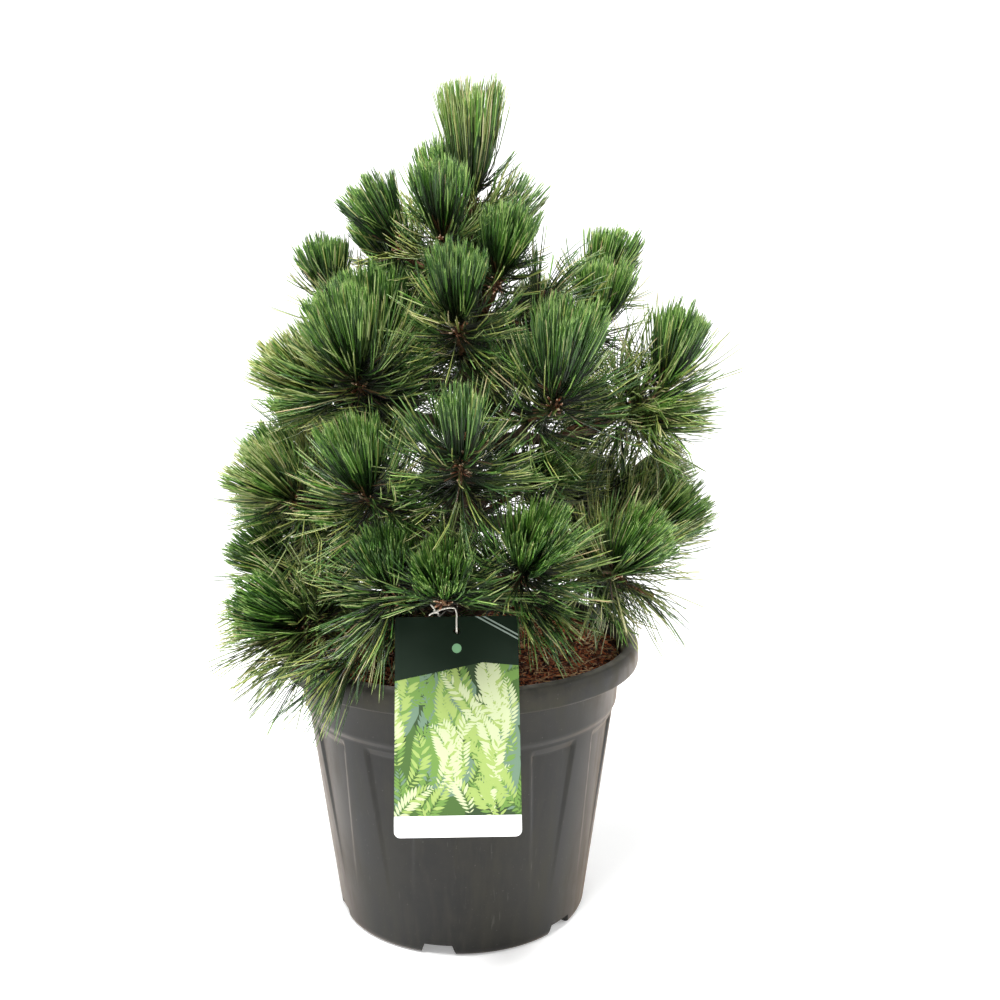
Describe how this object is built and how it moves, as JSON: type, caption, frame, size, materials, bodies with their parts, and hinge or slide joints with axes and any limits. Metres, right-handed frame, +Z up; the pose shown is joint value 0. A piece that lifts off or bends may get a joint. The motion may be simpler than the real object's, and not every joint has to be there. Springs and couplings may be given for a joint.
{
  "type": "potted dwarf pine",
  "caption": "Dwarf Bosnian pine of upright, conical habit with short stiff needles in brushes at the twig ends, in a fluted nursery pot with a hang label over the rim.",
  "frame": {"origin": "middle of the outer box, at the underside of the pot's foot ring", "axes": "+Z up along the pot; -Y is the front, the side that the hang label faces; +X is the viewer's right"},
  "size_m": [0.5752, 0.5672, 0.9067],
  "materials": {
    "pot": "satin moulded plastic, weathered",
    "soil": "rough bark and coir",
    "bark": "scaly bark",
    "needles": "living pine needles",
    "label": "printed card",
    "tie": "white tie"
  },
  "bodies": {
    "root": {"bough_low_back": "bark", "bough_low_back_left": "bark", "bough_low_back_right": "bark", "bough_low_front": "bark", "bough_low_front_left": "bark", "bough_low_front_right": "bark", "bough_low_left": "bark", "bough_low_right": "bark", "bough_middle_back_left": "bark", "bough_middle_back_right": "bark", "bough_middle_front": "bark", "bough_middle_front_left": "bark", "bough_middle_left": "bark", "bough_middle_right": "bark", "bough_upper_back_left": "bark", "bough_upper_back_right": "bark", "bough_upper_front": "bark", "bough_upper_left": "bark", "bough_upper_left_front": "bark", "bough_upper_right": "bark", "bough_upper_right_back": "bark", "bough_upper_right_front": "bark", "label": "label", "label_tie": "tie", "needles_leader": "needles", "needles_low_back": "needles", "needles_low_back_left": "needles", "needles_low_back_right": "needles", "needles_low_front": "needles", "needles_low_front_left": "needles", "needles_low_front_right": "needles", "needles_low_left": "needles", "needles_low_right": "needles", "needles_middle_back_left": "needles", "needles_middle_back_right": "needles", "needles_middle_front": "needles", "needles_middle_front_left": "needles", "needles_middle_inner": "needles", "needles_middle_left": "needles", "needles_middle_right": "needles", "needles_top_back": "needles", "needles_top_back_left": "needles", "needles_top_back_right": "needles", "needles_top_front": "needles", "needles_top_left": "needles", "needles_top_low_right": "needles", "needles_top_right": "needles", "needles_upper_back_left": "needles", "needles_upper_back_right": "needles", "needles_upper_front": "needles", "needles_upper_left": "needles", "needles_upper_left_front": "needles", "needles_upper_right": "needles", "needles_upper_right_back": "needles", "needles_upper_right_front": "needles", "pot": "pot", "soil": "soil", "trunk": "bark"}
  },
  "joints": []
}
